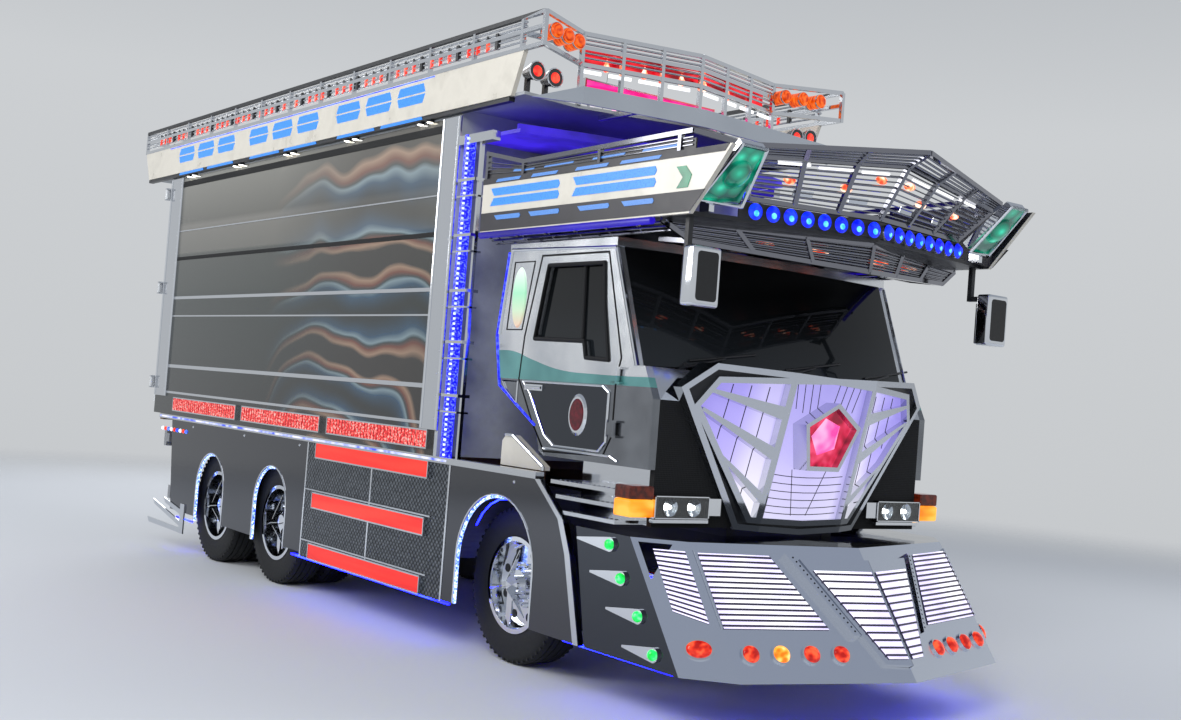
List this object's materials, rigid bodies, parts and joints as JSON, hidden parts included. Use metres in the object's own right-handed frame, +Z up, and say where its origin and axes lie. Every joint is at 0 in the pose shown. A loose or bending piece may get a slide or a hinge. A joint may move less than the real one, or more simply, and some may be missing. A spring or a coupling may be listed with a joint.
{
  "type": "decorated truck",
  "caption": "Decorated three-axle cab-over box truck with lit visor, roof crown, chromed bumper and skirts, steering, wheels and doors that move.",
  "frame": {"origin": "On the ground, in the middle of the overall length and width, under the middle of the truck's bounding box.", "axes": "+Z is up, -Y is the way the truck faces, +X is its own left side."},
  "size_m": [2.6, 9.037, 3.968],
  "materials": {
    "frame_grey": "satin",
    "cast_grey": "matte",
    "chrome": "polished",
    "steel": "brushed",
    "tyre_black": "matte",
    "side_dark": "gloss",
    "board_cream": "gloss",
    "cab_white": "gloss",
    "deck_dark": "satin",
    "floor_wood": "satin",
    "tank_steel": "satin",
    "trim_black": "matte",
    "glass_clear": "gloss",
    "lamp_red": "gloss",
    "lamp_amber": "gloss",
    "lamp_green": "gloss",
    "lamp_white": "gloss"
  },
  "bodies": {
    "truck": {"chassis_frame": "frame_grey", "engine_block": "cast_grey", "rear_axles": "cast_grey", "front_axle": "cast_grey", "leaf_springs": "frame_grey", "tanks": "tank_steel", "box_floor": "floor_wood", "box_sides": "side_dark", "box_front": "side_dark", "box_roof": "steel", "box_posts": "steel", "side_skirts": "chrome", "side_rails": "chrome", "cab_steps": "steel", "side_lamps": "lamp_red", "rear_guard": "steel", "crown_deck": "steel", "crown_boards": "board_cream", "crown_cage": "chrome", "crown_front": "chrome", "amber_lamps": "lamp_amber", "cab_sides": "cab_white", "cab_roof": "cab_white", "cab_back": "cab_white", "cab_floor": "deck_dark", "cab_front": "cab_white", "windscreen": "glass_clear", "cab_interior": "trim_black", "front_lamps": "lamp_white", "shield_frame": "chrome", "shield_panel": "lamp_white", "bumper": "chrome", "visor_deck": "deck_dark", "visor_cage": "chrome", "corner_lamps": "lamp_green", "mirrors": "chrome", "gap_columns": "chrome", "bumper_louvres": "lamp_white", "bumper_lamps": "lamp_red"},
    "knuckle_l": {"knuckle_left": "cast_grey"},
    "knuckle_r": {"knuckle_right": "cast_grey"},
    "tie_rod": {"tie_rod": "cast_grey"},
    "wheel_front_left": {"tyre_front_left": "tyre_black", "rim_front_left": "chrome"},
    "wheel_front_right": {"tyre_front_right": "tyre_black", "rim_front_right": "chrome"},
    "wheels_mid_left": {"tyres_mid_left": "tyre_black", "rims_mid_left": "chrome"},
    "wheels_mid_right": {"tyres_mid_right": "tyre_black", "rims_mid_right": "chrome"},
    "wheels_rear_left": {"tyres_rear_left": "tyre_black", "rims_rear_left": "chrome"},
    "wheels_rear_right": {"tyres_rear_right": "tyre_black", "rims_rear_right": "chrome"},
    "door_left": {"cab_door_left": "cab_white", "door_glass_left": "glass_clear"},
    "door_right": {"cab_door_right": "cab_white", "door_glass_right": "glass_clear"},
    "leaf_left": {"rear_door_left": "steel"},
    "leaf_right": {"rear_door_right": "steel"}
  },
  "joints": [
    {"name": "steer_left", "type": "hinge", "parent": "truck", "child": "knuckle_l", "pos_m": [0.82, -2.2315, 0.48], "axis": [0, 0, 1], "range_deg": [-35, 35]},
    {"name": "spin_front_left", "type": "hinge", "parent": "knuckle_l", "child": "wheel_front_left", "pos_m": [0.935, -2.2315, 0.48], "axis": [1, 0, 0], "continuous": true},
    {"name": "spin_mid_left", "type": "hinge", "parent": "truck", "child": "wheels_mid_left", "pos_m": [0.9, 1.0185, 0.48], "axis": [1, 0, 0], "continuous": true},
    {"name": "spin_rear_left", "type": "hinge", "parent": "truck", "child": "wheels_rear_left", "pos_m": [0.9, 2.2785, 0.48], "axis": [1, 0, 0], "continuous": true},
    {"name": "door_left_swing", "type": "hinge", "parent": "truck", "child": "door_left", "pos_m": [1.138, -3.2215, 1.65], "axis": [0, 0, -1], "range_deg": [0, 70]},
    {"name": "leaf_left_swing", "type": "hinge", "parent": "truck", "child": "leaf_left", "pos_m": [1.285, 3.8495, 2.4], "axis": [0, 0, -1], "range_deg": [0, 260]},
    {"name": "steer_right", "type": "hinge", "parent": "truck", "child": "knuckle_r", "pos_m": [-0.82, -2.2315, 0.48], "axis": [0, 0, 1], "range_deg": [-35, 35]},
    {"name": "spin_front_right", "type": "hinge", "parent": "knuckle_r", "child": "wheel_front_right", "pos_m": [-0.935, -2.2315, 0.48], "axis": [1, 0, 0], "continuous": true},
    {"name": "spin_mid_right", "type": "hinge", "parent": "truck", "child": "wheels_mid_right", "pos_m": [-0.9, 1.0185, 0.48], "axis": [1, 0, 0], "continuous": true},
    {"name": "spin_rear_right", "type": "hinge", "parent": "truck", "child": "wheels_rear_right", "pos_m": [-0.9, 2.2785, 0.48], "axis": [1, 0, 0], "continuous": true},
    {"name": "door_right_swing", "type": "hinge", "parent": "truck", "child": "door_right", "pos_m": [-1.138, -3.2215, 1.65], "axis": [0, 0, 1], "range_deg": [0, 70]},
    {"name": "leaf_right_swing", "type": "hinge", "parent": "truck", "child": "leaf_right", "pos_m": [-1.285, 3.8495, 2.4], "axis": [0, 0, 1], "range_deg": [0, 260]},
    {"name": "tie_rod_pivot", "type": "hinge", "parent": "knuckle_l", "child": "tie_rod", "pos_m": [0.82, -2.0315, 0.37], "axis": [0, 0, 1], "range_deg": [-35, 35]}
  ],
  "couplings": [
    {"joint": "steer_right", "follows": "steer_left", "ratio": 1},
    {"joint": "tie_rod_pivot", "follows": "steer_left", "ratio": -1}
  ]
}
